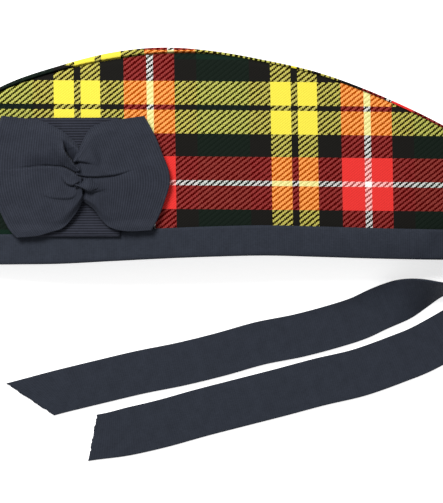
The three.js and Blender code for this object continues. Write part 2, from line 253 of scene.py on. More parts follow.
# %% The cap's outline
left_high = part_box("left_side")[1]
band_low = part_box("band")[0]
HALF = left_high.x  # half the cap's length
HEIGHT = 122 * MM
HEM = band_low.y
WALL = 2.2 * MM
GAP = 0.3 * MM  # between pieces that are sewn together
RIBBON = 1.0 * MM
BAND_HEIGHT = 17 * MM
BAND_EASE = 12 * MM  # the cloth settles over this distance above the band
BAND_CLEAR = 1.46 * MM  # what lies over the band keeps this far from the wall
END_ROUND = 6 * MM  # radius of the wall where it turns at the front and back seams
MOUTH_RISE = 19 * MM  # how far the left wall arches at the band,
RIDGE_RISE = 9 * MM  # at the ridge,
SWELL = 3 * MM  # and more at half its height
LIP = 4.2 * MM
FRONT_CORNER = 26 * MM
BACK_CORNER = 12 * MM
CROWN_CLOTH = 1.2 * MM
CROWN_DEPTH = 45 * MM
CROWN_TIP_DEPTH = 4 * MM
CROWN_FOLD = 1.3 * MM  # half the height of the fold's inner edge
WALL_STEPS = 32  # stations of the walls' solids, of which
CROWN_FIRST = 4  # this one is the crown's tip

OUTLINE = [  # share of the length, and the shares there of the hem, the ridge and the lip
    (0.0, 0.0, 0.703, 0.36),
    (0.1, 0.002, 0.835, 0.7),
    (0.2, 0.005, 0.916, 0.76),
    (0.3, 0.017, 0.976, 1.0),
    (0.4, 0.029, 1.0, 0.86),
    (0.5, 0.038, 0.983, 0.45),
    (0.6, 0.043, 0.941, 0.36),
    (0.7, 0.037, 0.886, 0.36),
    (0.8, 0.03, 0.801, 0.36),
    (0.9, 0.025, 0.696, 0.4),
    (1.0, 0.023, 0.571, 0.36),
]
hem_share, top_share, lip_share = (column(OUTLINE, k) for k in (1, 2, 3))


def corner(distance, radius):
    """How far a rounded corner drops, at a distance from the end."""
    short = max(radius - distance, 0)
    return radius - math.sqrt(radius**2 - short**2)


def band_edge(x):
    return HEM + HEIGHT * hem_share((x + HALF) / (2 * HALF))


def hem(x):
    return band_edge(x) + RIBBON + GAP


def outline(x):
    top = HEM + HEIGHT * top_share((x + HALF) / (2 * HALF))
    return top - corner(HALF + x, FRONT_CORNER) - corner(HALF - x, BACK_CORNER)


def share_of(x):
    """The stations lie closer at the ends, as the points of a half circle do: x as a share of them, and back."""
    return math.acos(min(max(-x / HALF, -1), 1)) / pi


def station_x(u):
    return -HALF * cos(pi * u)


def lip(x):
    return max(LIP * lip_share((x + HALF) / (2 * HALF)), GAP + CROWN_CLOTH)


def ridge(x):
    station = WALL_STEPS * share_of(-abs(x))
    return outline(x) - lip(x) * min(max(station - CROWN_FIRST + 1, 0), 1)


def end_turn(x):
    """How far the wall has come round its end seam, from 0 at the seam to 1."""
    distance = min(HALF - abs(x), END_ROUND)
    return math.sqrt(max(1 - (1 - distance / END_ROUND) ** 2, 0))


def left_rise(x, y):
    share = (y - hem(x)) / (ridge(x) - hem(x))
    rise = mix(MOUTH_RISE, RIDGE_RISE, share) + SWELL * 4 * share * (1 - share)
    return END_ROUND * end_turn(x) + rise * (1 - (x / HALF) ** 2)


def right_drop(x, y):
    band_top = band_edge(x) + BAND_HEIGHT + GAP
    under_band = (RIBBON + GAP) * (1 - smooth(y, band_top, band_top - GAP + BAND_EASE))
    return (END_ROUND - GAP / 2 - under_band) * end_turn(x)


def wall_point(side, x, y):
    """A point on the outside of the left wall, whose side is 1, or of the right wall, whose side is -1."""
    from_seam = GAP / 2 + (left_rise(x, y) if side > 0 else right_drop(x, y))
    return Vector((x, y, END_ROUND + side * from_seam))


print("cap length in mm:", round(2 * HALF / MM, 1), "ridge at the middle:", round(ridge(0) / MM, 1))

# %% [markdown]
# Tartan is woven in a 2/2 twill: each weft passes over two ends and under two, one end further along on each
# pick, which draws the fine diagonal. The stripes are charted by thread count, once for the ends, which run up
# the cap, and once for the picks, which run along it. A colour ramp with constant steps holds each chart. It could
# be painted as an image, but a chart stays sharp at any distance.

# %% The thread charts
END = 0.927 * MM
PICK = 0.735 * MM
YARNS = {"Y": "#e8d948", "K": "#1a1917", "R": "#df3532", "W": "#f4f2ee", "G": "#13251c"}
ENDS = "Y12 K4 Y12 K14 R14 W4 R13 K13 G32 K13"
PICKS = "Y18 K4 Y18 K17 R18 W4 R18 K17 G40 K17"
DISPLAY_GAMMA = 2.2


def threads(chart):
    """A thread chart as pairs of a yarn and its count."""
    return [(part[0], int(part[1:])) for part in chart.split()]


def stripes(tree, chart, thread):
    """A colour ramp that repeats a thread chart, read at a thread's number, in display values."""
    rows = threads(chart)
    total = sum(count for _, count in rows)
    share = math_node(tree, "FRACT", math_node(tree, "DIVIDE", thread, total))
    ramp = add_node(tree, "ShaderNodeValToRGB", {}, {"Fac": share})
    ramp.color_ramp.interpolation = "CONSTANT"
    passed = 0
    for i, (yarn, count) in enumerate(rows):
        stops = ramp.color_ramp.elements
        stop = stops[i] if i < 2 else stops.new(passed / total)
        stop.position = passed / total
        stop.color = [channel ** (1 / DISPLAY_GAMMA) for channel in linear(YARNS[yarn])]
        passed += count
    return ramp.outputs["Color"]


print("the sett repeats every", round(sum(count for _, count in threads(ENDS)) * END / MM, 1), "mm along the cap")

# %% [markdown]
# Where the diagonal shows an end, a crossing takes the end's brightness, and elsewhere the pick's. But the hairs of
# both yarns mix, so it has the hue of the two together: red over black is maroon, and red over yellow orange. It
# is also painted a little darker than its yarns: painted shade of the hollows between them.

# %% The colour of a crossing
EYE = (0.3, 0.59, 0.11)  # how bright red, green and blue are to the eye
TWO_TONE = 0.84  # how much of their difference in brightness two crossed yarns keep
CROSSING_PAINTED_SHADE = 0.7  # how much of that difference is painted as shade, to darken the crossing,
CROSSING_PAINTED_SHADE_MOST = 0.11  # and the most of that painted shade that counts
FULL_HUE = 1.7  # a crossing's brighter part is at most this much of the mix, so it keeps its hue


def vector_node(tree, operation, a, b):
    """Vector maths on two colours or places, as vectors."""
    inputs = {0: a, "Scale" if operation == "SCALE" else 1: b}
    node = add_node(tree, "ShaderNodeVectorMath", {"operation": operation}, inputs)
    return node.outputs["Value" if operation == "DOT_PRODUCT" else "Vector"]


def crossing(tree, warp, weft, over):
    """The linear colour of a crossing, where over is 1 if the end lies on top."""
    on_top, mixed = (
        add_node(tree, "ShaderNodeMix", {"data_type": "RGBA"}, {"Factor": share, 6: weft, 7: warp}).outputs[2]
        for share in (over, 0.5)
    )
    contrast = math_node(tree, "SUBTRACT", *(vector_node(tree, "DOT_PRODUCT", tone, EYE) for tone in (on_top, mixed)))
    # A crossing with more contrast is painted darker: painted shade of the hollows between its yarns.
    crossing_painted_shade = math_node(tree, "MINIMUM", math_node(tree, "ABSOLUTE", contrast), CROSSING_PAINTED_SHADE_MOST)
    step = scaled(tree, contrast, TWO_TONE, scaled(tree, crossing_painted_shade, -CROSSING_PAINTED_SHADE))
    lifted = vector_node(tree, "ADD", mixed, step)
    held = vector_node(tree, "MINIMUM", lifted, vector_node(tree, "SCALE", mixed, FULL_HUE))
    shown = vector_node(tree, "MAXIMUM", held, (0, 0, 0))
    return add_node(tree, "ShaderNodeGamma", {}, {"Color": shown, "Gamma": DISPLAY_GAMMA}).outputs["Color"]


# The crossings' painted shade, at its deepest.
print("the hollows darken a crossing by up to", round(CROSSING_PAINTED_SHADE * CROSSING_PAINTED_SHADE_MOST, 3))

# %% [markdown]
# The cloth is worsted wool, spun from combed yarn and woven close. That makes it smooth but matt, with a slight
# fuzz: it is rough, and has hardly any highlight. Each yarn is round, the twill's floats stand up as a fine ridge,
# and the yarns stray a little from their rows. Where the yarns sink the colour is painted darker, as painted shade,
# and the fuzz varies its tone at random.

# %% Worsted tartan, 2/2 twill
CLOTH_LEAN = (1, 1 / 60, 0)  # the ends don't stand quite upright on the cap,
CLOTH_SLOPE = (0.0083, 1, 0)  # and the picks don't lie quite level
STRAY = 0.9  # of a yarn
STRAY_SCALE = 900
RIDGE_SHARE = 0.65  # the ridges' part in the relief, against the single yarns'
# Painted shade: from DARKEST between the yarns, the colour is painted up to this much lighter on their tops.
YARN_PAINTED_SHADE = 0.3
FUZZ_SHADE = 0.12
FUZZ_SCALE = 2600
FUZZ_RELIEF = 0.3
DARKEST = 0.72  # the cloth's painted shade between its yarns
YARN_RELIEF = 0.2 * MM


def noise_node(tree, place, scale, detail):
    inputs = {"Vector": place, "Scale": scale, "Detail": detail}
    return add_node(tree, "ShaderNodeTexNoise", {}, inputs).outputs["Fac"]


def dress(tree, surface, colour, painted_shade_and_grain, relief, strength, depth):
    """Ends a cloth: its colour times its painted shade and grain, and the small relief of its yarns as a bump."""
    multiply = {"data_type": "RGBA", "blend_type": "MULTIPLY"}
    shaded = add_node(tree, "ShaderNodeMix", multiply, {"Factor": 1.0, 6: colour, 7: painted_shade_and_grain})
    tree.links.new(shaded.outputs[2], surface.inputs["Base Color"])
    bump = add_node(tree, "ShaderNodeBump", {}, {"Strength": strength, "Distance": depth, "Height": relief})
    tree.links.new(bump.outputs["Normal"], surface.inputs["Normal"])


def yarn_relief(tree, ends, picks, over):
    """How high the cloth stands at a place, from the twill's ridges and from the round yarns."""

    def wave(yarns, turn):
        return math_node(tree, "ABSOLUTE", math_node(tree, "SINE", scaled(tree, yarns, turn)))

    ridge_height = wave(math_node(tree, "ADD", ends, picks), pi / 2)
    on_top = {"Factor": over, 2: wave(picks, pi), 3: wave(ends, pi)}
    yarn = add_node(tree, "ShaderNodeMix", {"data_type": "FLOAT"}, on_top).outputs[0]
    yarn_part = scaled(tree, yarn, 1 - RIDGE_SHARE)
    return scaled(tree, ridge_height, RIDGE_SHARE, yarn_part)


def tartan(name, first_end, first_pick):
    """Tartan whose chart starts at a place on the cloth, in metres."""
    material, tree, surface = new_material(name)
    cloth = add_node(tree, "ShaderNodeUVMap", {"uv_map": "cloth"}).outputs["UV"]
    lean = vector_node(tree, "DOT_PRODUCT", cloth, CLOTH_LEAN)
    slope = vector_node(tree, "DOT_PRODUCT", cloth, CLOTH_SLOPE)
    ends = scaled(tree, lean, 1 / END, -first_end / END)
    picks = scaled(tree, slope, -1 / PICK, first_pick / PICK)

    stray = scaled(tree, noise_node(tree, cloth, STRAY_SCALE, 2), STRAY, -STRAY / 2)
    whole = [math_node(tree, "FLOOR", math_node(tree, "ADD", yarns, stray)) for yarns in (ends, picks)]
    quarter = math_node(tree, "FLOORED_MODULO", math_node(tree, "ADD", *whole), 4)
    over = math_node(tree, "LESS_THAN", quarter, 1.5)
    woven = crossing(tree, stripes(tree, ENDS, ends), stripes(tree, PICKS, picks), over)

    height = yarn_relief(tree, ends, picks, over)
    fuzz = noise_node(tree, cloth, FUZZ_SCALE, 3)
    # Painted shade: the colour is darker where the yarns sink, and the fuzz varies its tone at random.
    painted_shade_and_grain = scaled(tree, height, YARN_PAINTED_SHADE, DARKEST)
    painted_shade_and_grain = scaled(tree, fuzz, FUZZ_SHADE, painted_shade_and_grain)
    relief = scaled(tree, fuzz, FUZZ_RELIEF, height)
    dress(tree, surface, woven, painted_shade_and_grain, relief, 0.5, YARN_RELIEF)
    surface.inputs["Roughness"].default_value = 0.85
    surface.inputs["Specular IOR Level"].default_value = 0.03
    return material


print("10 cm of the cloth has", round(100 * MM / END), "ends and", round(100 * MM / PICK), "picks")

# %% [markdown]
# A wall is one sheet of cloth, thick with its stiffening. It is bent over the front and back seams at its
# ends, and the upper, left one dips into the seam at the ridge, and has the slight unevenness of cloth that has
# been folded and pressed.

# %% The two walls
SIDE_START = from_photo(54.5, 81.4)  # the corner of a yellow check, where both charts start
side_tartan = tartan("worsted_tartan_twill", SIDE_START.x, SIDE_START.y)
SEAM_DIP = 1.1 * MM
SEAM_WIDTH = 2.6 * MM
UNEVEN = 0.35 * MM
UNEVEN_SIZE = 45 * MM


def arc_x(x):
    """How far along its own cloth the wall has come at x: it goes on round the ends."""
    past = abs(x) - (HALF - END_ROUND)
    if past <= 0:
        return x
    return math.copysign(HALF - END_ROUND + END_ROUND * math.asin(min(past / END_ROUND, 1)), x)


def wall_place(side):
    def place(s, t):
        x = station_x(s)
        y = mix(hem(x), ridge(x), t)
        point = wall_point(side, x, y)
        to_ridge = ridge(x) - y
        inside = end_turn(x)
        dip = SEAM_DIP * (1 - smooth(to_ridge, 0, SEAM_WIDTH)) * inside
        if side > 0:
            over_band = smooth(y, band_edge(x) + BAND_HEIGHT, band_edge(x) + BAND_HEIGHT + BAND_EASE)
            uneven = UNEVEN * noise.noise(Vector((x, y, 0)) / UNEVEN_SIZE) * over_band * inside
            point.z += uneven - dip
        return point

    return place


def wall_cloth(s, t):
    x = station_x(s)
    return (arc_x(x), mix(hem(x), ridge(x), t))


WALL_COLUMNS = 230
WALL_ROWS = 100
STRIPS = 200
cuts = [HALF * (2 * i / STRIPS - 1) for i in range(STRIPS + 1)]
wall_area = sum((ridge(a) - hem(a)) * (arc_x(b) - arc_x(a)) for a, b in zip(cuts, cuts[1:]))
wall_flat = (max(ridge(x) - hem(x) for x in cuts), 2 * arc_x(HALF))
print("a wall is cut", [round(side / MM) for side in wall_flat], "mm, and covers", round(wall_area * 1e4), "cm2")

for side, node in ((1, "left_side"), (-1, "right_side")):
    bm = bent_grid(WALL_COLUMNS, WALL_ROWS, wall_place(side), wall_cloth)
    if side < 0:
        bmesh.ops.reverse_faces(bm, faces=bm.faces)
    wall = new_piece(node + "_cloth", bm, side_tartan, "tartan_twill", node)
    thicken(wall, WALL)

# %% [markdown]
# The crown is a long narrow lens of the same cloth. Folded, it lies between the walls as a V, and it rolls out
# a little past each seam, as a lip. Each station along the cap has one section: lip, leaf, fold, leaf, lip.

# %% The crown's section
LIP_STEPS = 12
LEAF_STEPS = 10
LENS_POWER = 0.8  # below 1 the crown widens fast from its tips


def crown_section(x):
    """The section's middle line as points of y and z, from the left wall's edge to the right wall's."""
    edge = ridge(x)
    left, right = wall_point(1, x, edge).z, wall_point(-1, x, edge).z
    reach = lip(x) - GAP - CROWN_CLOTH
    radius = (WALL + GAP) / 2
    share = (WALL_STEPS * share_of(x) - CROWN_FIRST) / (WALL_STEPS - 2 * CROWN_FIRST)
    depth = mix(CROWN_TIP_DEPTH, CROWN_DEPTH, sin(pi * min(max(share, 0), 1)) ** LENS_POWER)
    middle = (left + right) / 2

    def half(z, way):
        axis_y, axis_z = edge + GAP + CROWN_CLOTH / 2, z - way * (radius + CROWN_CLOTH / 2)
        angles = [radians(90 - 180 * i / LIP_STEPS) for i in range(LIP_STEPS + 1)]
        roll = [(axis_y + reach * cos(angle), axis_z + way * radius * sin(angle)) for angle in angles]
        start_y, start_z = roll[-1]
        fold_y, fold_z = edge - depth, middle + way * CROWN_FOLD
        shares = [i / LEAF_STEPS for i in range(1, LEAF_STEPS + 1)]
        return roll + [(mix(start_y, fold_y, t), mix(start_z, fold_z, t)) for t in shares]

    return half(left, 1) + half(right, -1)[::-1]


def crown_x(s):
    return station_x((CROWN_FIRST + s * (WALL_STEPS - 2 * CROWN_FIRST)) / WALL_STEPS)


CROWN_POINTS = len(crown_section(0))
CROWN_COLUMNS = 220
sections = {}


def crown_at(s, t):
    """A column's place, its section with the length along it, worked out once, and the number of a row."""
    x = crown_x(s)
    key = round(s * CROWN_COLUMNS)
    if key not in sections:
        line = crown_section(x)
        lengths = [0]
        for (y0, z0), (y1, z1) in zip(line, line[1:]):
            lengths.append(lengths[-1] + math.hypot(y1 - y0, z1 - z0))
        sections[key] = (line, lengths)
    line, lengths = sections[key]
    return x, line, lengths, round(t * (CROWN_POINTS - 1))


def crown_place(s, t):
    x, line, _, j = crown_at(s, t)
    return Vector((x, *line[j]))


# %% [markdown]
# The crown's checks don't line up with the wall's. On the lip its stripes run level while the lip slopes down to
# both ends, so the chart is read by height there. Between the walls it turns to lie along the crown's middle line.

# %% The crown
CROWN_ROWS = 1.5  # of the cloth for each metre of height above the level,
CROWN_ROWS_LOW = 0.7  # and below it
CROWN_LEVEL = from_photo(0, 66).y
CROWN_MIDDLE = 37 * MM  # the row along the crown's middle line
CROWN_START = from_photo(76.5, 50.5)
CROWN_PICKS = 22  # from the chart's start to its second yellow stripe
crown_first = CROWN_ROWS * CROWN_START.y + CROWN_PICKS * PICK
crown_tartan = tartan("worsted_tartan_twill_crown", CROWN_START.x, crown_first)


def crown_cloth(s, t):
    x, line, lengths, j = crown_at(s, t)
    top = LIP_STEPS // 2
    y = line[min(j, top)][0]
    row = CROWN_ROWS * CROWN_LEVEL + (y - CROWN_LEVEL) * (CROWN_ROWS if y > CROWN_LEVEL else CROWN_ROWS_LOW)
    if j > top:
        middle = (lengths[CROWN_POINTS // 2 - 1] + lengths[CROWN_POINTS // 2]) / 2
        row = CROWN_MIDDLE + (row - CROWN_MIDDLE) * (middle - lengths[j]) / (middle - lengths[top])
    return (x, row)


bm = bent_grid(CROWN_COLUMNS, CROWN_POINTS - 1, crown_place, crown_cloth)
crown = new_piece("crown_cloth", bm, crown_tartan, "tartan_twill", "crown")
thicken(crown, CROWN_CLOTH, 0)

# %% [markdown]
# Grosgrain is a ribbon with a thick weft packed under a fine warp, which gives it round ribs straight across its
# width. Its smooth polyester gives the ribs a faint sheen. The ribs are a sine of the cloth's length, at their real
# pitch, painted lighter on the ribs and darker in the grooves as painted light and shade, and long thin noise draws
# the warp. Where the ribbon is bent its grooves open, so the painted shade is darker and the grooves deeper on the
# bow and its pad than on the band and the tails.

# %% Polyester grosgrain
RIB = 1.25 * MM
WARP_GRAIN = (500, 1500, 1)  # a fine noise, three times longer along the ribbon than across
WARP_SHADE = 0.55
WARP_RELIEF = 0.6
SLUB_SCALE = 160
SLUB_SHADE = 0.45


def grosgrain(name, colour, contrast, depth):
    """Ribbed ribbon: contrast is how much darker than its ribs the grooves are painted, as painted shade, depth how
    deep they lie.
    """
    material, tree, surface = new_material(name)
    cloth = add_node(tree, "ShaderNodeUVMap", {"uv_map": "cloth"}).outputs["UV"]
    along = add_node(tree, "ShaderNodeSeparateXYZ", {}, {"Vector": cloth}).outputs["X"]
    rib = math_node(tree, "COSINE", scaled(tree, along, 2 * pi / RIB))
    fine = add_node(tree, "ShaderNodeMapping", {}, {"Vector": cloth, "Scale": WARP_GRAIN}).outputs["Vector"]
    warp = noise_node(tree, fine, 1, 3)
    slub = noise_node(tree, cloth, SLUB_SCALE, 3)
    # Painted light and shade: the ribs are painted lighter and the grooves darker. The warp and the slubs vary the
    # tone.
    painted_shade_and_grain = scaled(tree, rib, contrast / 2, 0.5)
    painted_shade_and_grain = scaled(tree, warp, WARP_SHADE, painted_shade_and_grain)
    painted_shade_and_grain = scaled(tree, slub, SLUB_SHADE, painted_shade_and_grain)
    relief = scaled(tree, warp, WARP_RELIEF, rib)
    dress(tree, surface, linear(colour), painted_shade_and_grain, relief, 0.6, depth)
    surface.inputs["Roughness"].default_value = 0.75
    surface.inputs["Specular IOR Level"].default_value = 0.08
    surface.inputs["Sheen Weight"].default_value = 0.02
    surface.inputs["Sheen Roughness"].default_value = 0.4
    return material


# Each copy has its own depth of the grooves' painted shade: deepest on the pad, and then on the bow.
band_grosgrain = grosgrain("grosgrain_band_navy", "#2b2f38", contrast=0.12, depth=0.06 * MM)
bow_grosgrain = grosgrain("grosgrain_bow_navy", "#2a2d36", contrast=0.45, depth=0.12 * MM)
# The pad's copy is painted a darker navy, as painted shade behind the wings.
pad_grosgrain_painted_shade = grosgrain("grosgrain_pad_navy_painted_shade", "#282a33", contrast=1.0, depth=0.14 * MM)
tail_grosgrain = grosgrain("grosgrain_tail_navy", "#2a2e37", contrast=0.12, depth=0.06 * MM)
print("the ribbon has", round(10 * MM / RIB), "ribs to the centimetre")

# %% [markdown]
# The band is one ribbon folded over the raw hem and stitched through. Its section runs down the outside of the
# wall, round the hem and up the inside, and it goes round the whole mouth of the cap.

# %% The band
BAND_ROWS = 10
HEM_ROWS = 8
BAND_COLUMNS = 260
BAND_DOME = 1.0 * MM
NEAR = 0.05 * MM
NEAR_SHARE = 1e-4
DOME_RISES = (295, 330)  # between these places in the photo,
DOME_SINKS = (420, 442)  # and between these


def outward(side, x, y):
    u = share_of(x)
    ahead = wall_point(side, station_x(min(u + NEAR_SHARE, 1)), y)
    behind = wall_point(side, station_x(max(u - NEAR_SHARE, 0)), y)
    above, below = (wall_point(side, x, y + step) for step in (NEAR, -NEAR))
    return (ahead - behind).cross(above - below).normalized() * side


def band_dome(x):
    """Behind the bow the ribbon stands off the wall a little along its middle, as far as the tails."""
    rises, sinks = ([from_photo(place, 0).x for place in places] for places in (DOME_RISES, DOME_SINKS))
    return BAND_DOME * smooth(x, *rises) * (1 - smooth(x, *sinks))


def band_section(x, side=1):
    """Points of y and of the way out from the wall, from the outside's top round the hem to the inside's top."""
    edge = band_edge(x)
    top = edge + BAND_HEIGHT
    out = GAP + RIBBON / 2
    inside = -WALL - GAP - RIBBON / 2
    dome = band_dome(x) * 4 if side > 0 else 0
    shares = [i / BAND_ROWS for i in range(BAND_ROWS + 1)]
    angles = [pi * i / HEM_ROWS for i in range(1, HEM_ROWS)]
    line = [(mix(top, hem(x), t), out + dome * t * (1 - t)) for t in shares]
    line += [(hem(x) - out * sin(angle), -WALL / 2 + (out - inside) / 2 * cos(angle)) for angle in angles]
    return line + [(mix(hem(x), top, t), inside) for t in shares]


BAND_POINTS = len(band_section(0))


def round_mouth(s):
    """The side, and the place along the cap, at a share of the way round the mouth."""
    side = 1 if s <= 0.5 else -1
    return side, station_x(side * (1 - 2 * s))


def band_place(s, t):
    side, x = round_mouth(s)
    y, out = band_section(x, side)[round(t * (BAND_POINTS - 1))]
    return wall_point(side, x, y) + outward(side, x, y) * out


def band_cloth(s, t):
    side, x = round_mouth(s)
    along = arc_x(x) if side > 0 else 2 * arc_x(-HALF) - arc_x(x)
    return (along, t * 2 * BAND_HEIGHT)


bm = bent_grid(BAND_COLUMNS + 1, BAND_POINTS - 1, band_place, band_cloth)
bmesh.ops.reverse_faces(bm, faces=bm.faces)
band = new_piece("band_ribbon", bm, band_grosgrain, "grosgrain_band", "band")
thicken(band, RIBBON, 0)

# %% [markdown]
# The cockade is a bow of the same grosgrain, as wide as a hand. Its outlines are a few points each, read from the
# photograph, which a smooth curve joins, and a Coons patch fills the sheet between four curves.

# %% Curves through a few points
COCKADE = {"pad": 2.0 * MM, "edge": 2.2 * MM, "cloth": 0.6 * MM}


def catmull_rom(points, t):
    """The point at share t of a smooth curve through a list of points."""
    spans = len(points) - 1
    i = min(int(t * spans), spans - 1)
    f = t * spans - i
    p0, p1, p2, p3 = (Vector(points[min(max(i + k, 0), spans)]) for k in (-1, 0, 1, 2))
    bend, twist = 2 * p0 - 5 * p1 + 4 * p2 - p3, 3 * p1 - p0 - 3 * p2 + p3
    return 0.5 * (2 * p1 + (p2 - p0) * f + bend * f**2 + twist * f**3)


def running_lengths(points):
    """The length of a line up to each of its points."""
    lengths = [0]
    for a, b in zip(points, points[1:]):
        lengths.append(lengths[-1] + (b - a).length)
    return lengths


def even_curve(points, samples=200):
    """The same curve as a function of the share of its length."""
    dense = [catmull_rom(points, i / samples) for i in range(samples + 1)]
    lengths = running_lengths(dense)

    def at(share):
        target = share * lengths[-1]
        low, high = 0, samples
        while high - low > 1:
            middle = (low + high) // 2
            low, high = (middle, high) if lengths[middle] <= target else (low, middle)
        f = (target - lengths[low]) / max(lengths[low + 1] - lengths[low], 1e-12)
        return dense[low].lerp(dense[low + 1], f)

    at.length = lengths[-1]
    return at


def photo_curve(points):
    return even_curve([from_photo(*point).xy for point in points])


def cap_top(x, y):
    """The height of the left wall, and of the band that lies on it."""
    band_top = band_edge(x) + BAND_HEIGHT
    over_band = BAND_CLEAR * (1 - smooth(y, band_top + RIBBON, band_top + BAND_EASE / 2))
    return wall_point(1, x, y).z + over_band


def pad_base(x, y):
    return cap_top(x, y) + GAP


def wing_base(x, y):
    return pad_base(x, y) + COCKADE["pad"] + GAP


print("the wings start", round(wing_base(*from_photo(80, 178).xy) / MM, 1), "mm above the table")

# %% [markdown]
# Behind the bow is a flat loop of ribbon with its ribs along the cap. Its section is a stadium: a straight run, a
# half turn at the top, and the same back.

# %% The pad
PAD = {"left": 29, "right": 120, "top": 118.2, "foot": 236.5}
PAD_WIDTH = (PAD["right"] - PAD["left"]) * PIXEL
PAD_HEIGHT = (PAD["foot"] - PAD["top"]) * PIXEL
PAD_COLUMNS = 24
PAD_RUN_ROWS = 40
PAD_TURN_ROWS = 8
WELD = 0.01 * MM


def pad_place(s, t):
    """Half a lap is a run and a turn, and the other half is the same, turned about the middle."""
    low, high = from_photo(PAD["left"], PAD["foot"]), from_photo(PAD["right"], PAD["top"])
    radius = (COCKADE["pad"] - COCKADE["cloth"]) / 2
    half = PAD_RUN_ROWS + PAD_TURN_ROWS
    halves, j = divmod(round(t * 2 * half), half)
    angle = pi * max(j - PAD_RUN_ROWS, 0) / PAD_TURN_ROWS
    y = mix(low.y + radius, high.y - radius, min(j / PAD_RUN_ROWS, 1)) + radius * sin(angle)
    z = radius * cos(angle)
    if halves == 1:
        y, z = low.y + high.y - y, -z
    return Vector((mix(low.x, high.x, s), y, pad_base(mix(low.x, high.x, s), y) + COCKADE["pad"] / 2 + z))


def pad_cloth(s, t):
    return (2 * PAD_HEIGHT * t, PAD_WIDTH * s)


bm = bent_grid(PAD_COLUMNS, 2 * (PAD_RUN_ROWS + PAD_TURN_ROWS), pad_place, pad_cloth)
bmesh.ops.remove_doubles(bm, verts=bm.verts, dist=WELD)
bmesh.ops.reverse_faces(bm, faces=bm.faces)
pad = new_piece("cockade_pad_ribbon", bm, pad_grosgrain_painted_shade, "grosgrain_ribbon", "cockade_pad")
thicken(pad, COCKADE["cloth"], 0)

# %% [markdown]
# Each wing is a wide loop of ribbon, spread like a fan and gathered at the middle. Its upper run has the folds of
# the gathers: a step, where one pleat lies on the next, or a ridge, where the cloth stands up. A fold is a line in
# the photograph, in pixels, and a place on the side that lies over. In millimetres it has how far up that side goes
# and how far down the other, with the reach of each, the groove between them and half the lip's width. It grows
# over a first share of its line and fades between two others. A cloth simulation could gather a ribbon too, but
# not into these very folds.

# %% The folds
FOLDS = [
    {"wing": "front", "over": (50, 176), "up": (2.0, 9), "down": (2.6, 5), "fade": (0.7, 1.1), "groove": 0.8,
     "line": [(83.5, 178.6), (79, 177.3), (75.3, 174), (70.6, 170.8), (63.5, 168), (52, 167), (41, 167), (20, 169)]},
    {"wing": "front", "over": (60, 158), "up": (3.2, 2.6), "down": (4.4, 4), "fade": (0.55, 1), "groove": 0.6,
     "line": [(80.5, 170.5), (78.8, 168.2), (75, 165), (72, 160.6),
              (68.2, 156.5), (64.8, 150.6), (64, 145), (61.5, 138)]},
    {"wing": "front", "over": (66, 158), "up": (0, 3), "down": (1.6, 4.5), "fade": (0.5, 1), "lip": 1.8, "grow": 0.3,
     "line": [(70, 169), (63, 165), (59.5, 157), (58.5, 149), (58, 142)]},
    {"wing": "front", "over": (72, 166), "up": (1.0, 2), "down": (1.0, 1.2), "fade": (0.6, 1),
     "line": [(80.2, 171), (76.5, 172.2), (72, 170.6), (68, 168), (64, 166.4)]},
    {"wing": "front", "over": (72, 178), "up": (1.5, 3), "down": (1.2, 1.8), "fade": (0.55, 1), "groove": 0.4,
     "grow": 0.3,
     "line": [(81.5, 180.8), (76.5, 184.2), (73, 185.5), (69, 184.6), (66, 182), (64.2, 178.8), (63.8, 175)]},
    {"wing": "front", "over": (60, 190), "up": (0.8, 3), "down": (0.5, 3.5), "fade": (0.5, 1.05), "lip": 0.8,
     "grow": 0.3,
     "line": [(80, 190), (75.3, 195.8), (71.5, 198.4), (63.5, 198.8), (55.3, 198.2), (47, 196.5), (38, 193.5)]},
    {"wing": "rear", "over": (100, 168), "up": (0.9, 6), "down": (0.9, 2), "fade": (0.5, 1.05), "groove": 0.25,
     "line": [(78.8, 175.4), (86, 176.6), (96.5, 176.9), (106, 176.2), (115, 175.2), (124, 173), (136, 169)]},
    {"wing": "rear", "over": (86, 157), "up": (1.4, 4.5), "down": (1.4, 1.8), "fade": (0.15, 0.85), "groove": 0.2,
     "lip": 0.6,
     "line": [(74, 162.4), (81, 162), (89.4, 163.5), (95.3, 165.4), (101, 168.5)]},
    {"wing": "rear", "over": (88, 157), "up": (0.9, 5), "down": (1.5, 6), "fade": (0.4, 1), "lip": 2.6, "grow": 0.4,
     "line": [(97, 172), (98.5, 163), (96, 154.5), (92, 149.5), (86, 147)]},
    {"wing": "rear", "over": (100, 184), "up": (0.5, 5), "down": (2.0, 3.2), "fade": (0.1, 0.8), "lip": 0.9,
     "line": [(82, 189), (90.6, 192.6), (97, 191.6), (106, 189.6), (118, 186)]},
]
PLAIN_FOLD = {"groove": 0, "lip": 0.4, "grow": 0}
GROOVE_REACH = 0.55 * MM
FOLD_SAMPLES = 24


def beside(points, point):
    """How far a place is from a line, on which side of it, and how far along the line that is."""
    best = (1e9, 1, 0)
    for i, (a, b) in enumerate(zip(points, points[1:])):
        along = b - a
        f = min(max((point - a).dot(along) / along.length_squared, 0), 1)
        gap = point - (a + along * f)
        if gap.length < best[0]:
            best = (gap.length, math.copysign(1, along.x * gap.y - along.y * gap.x), (i + f) / FOLD_SAMPLES)
    return best


laid_folds = {"front": [], "rear": []}
for fold in FOLDS:
    curve = photo_curve(fold["line"])
    points = [curve(i / FOLD_SAMPLES) for i in range(FOLD_SAMPLES + 1)]
    side = beside(points, from_photo(*fold["over"]).xy)[1]
    laid_folds[fold["wing"]].append({**PLAIN_FOLD, **fold, "points": points, "side": side})


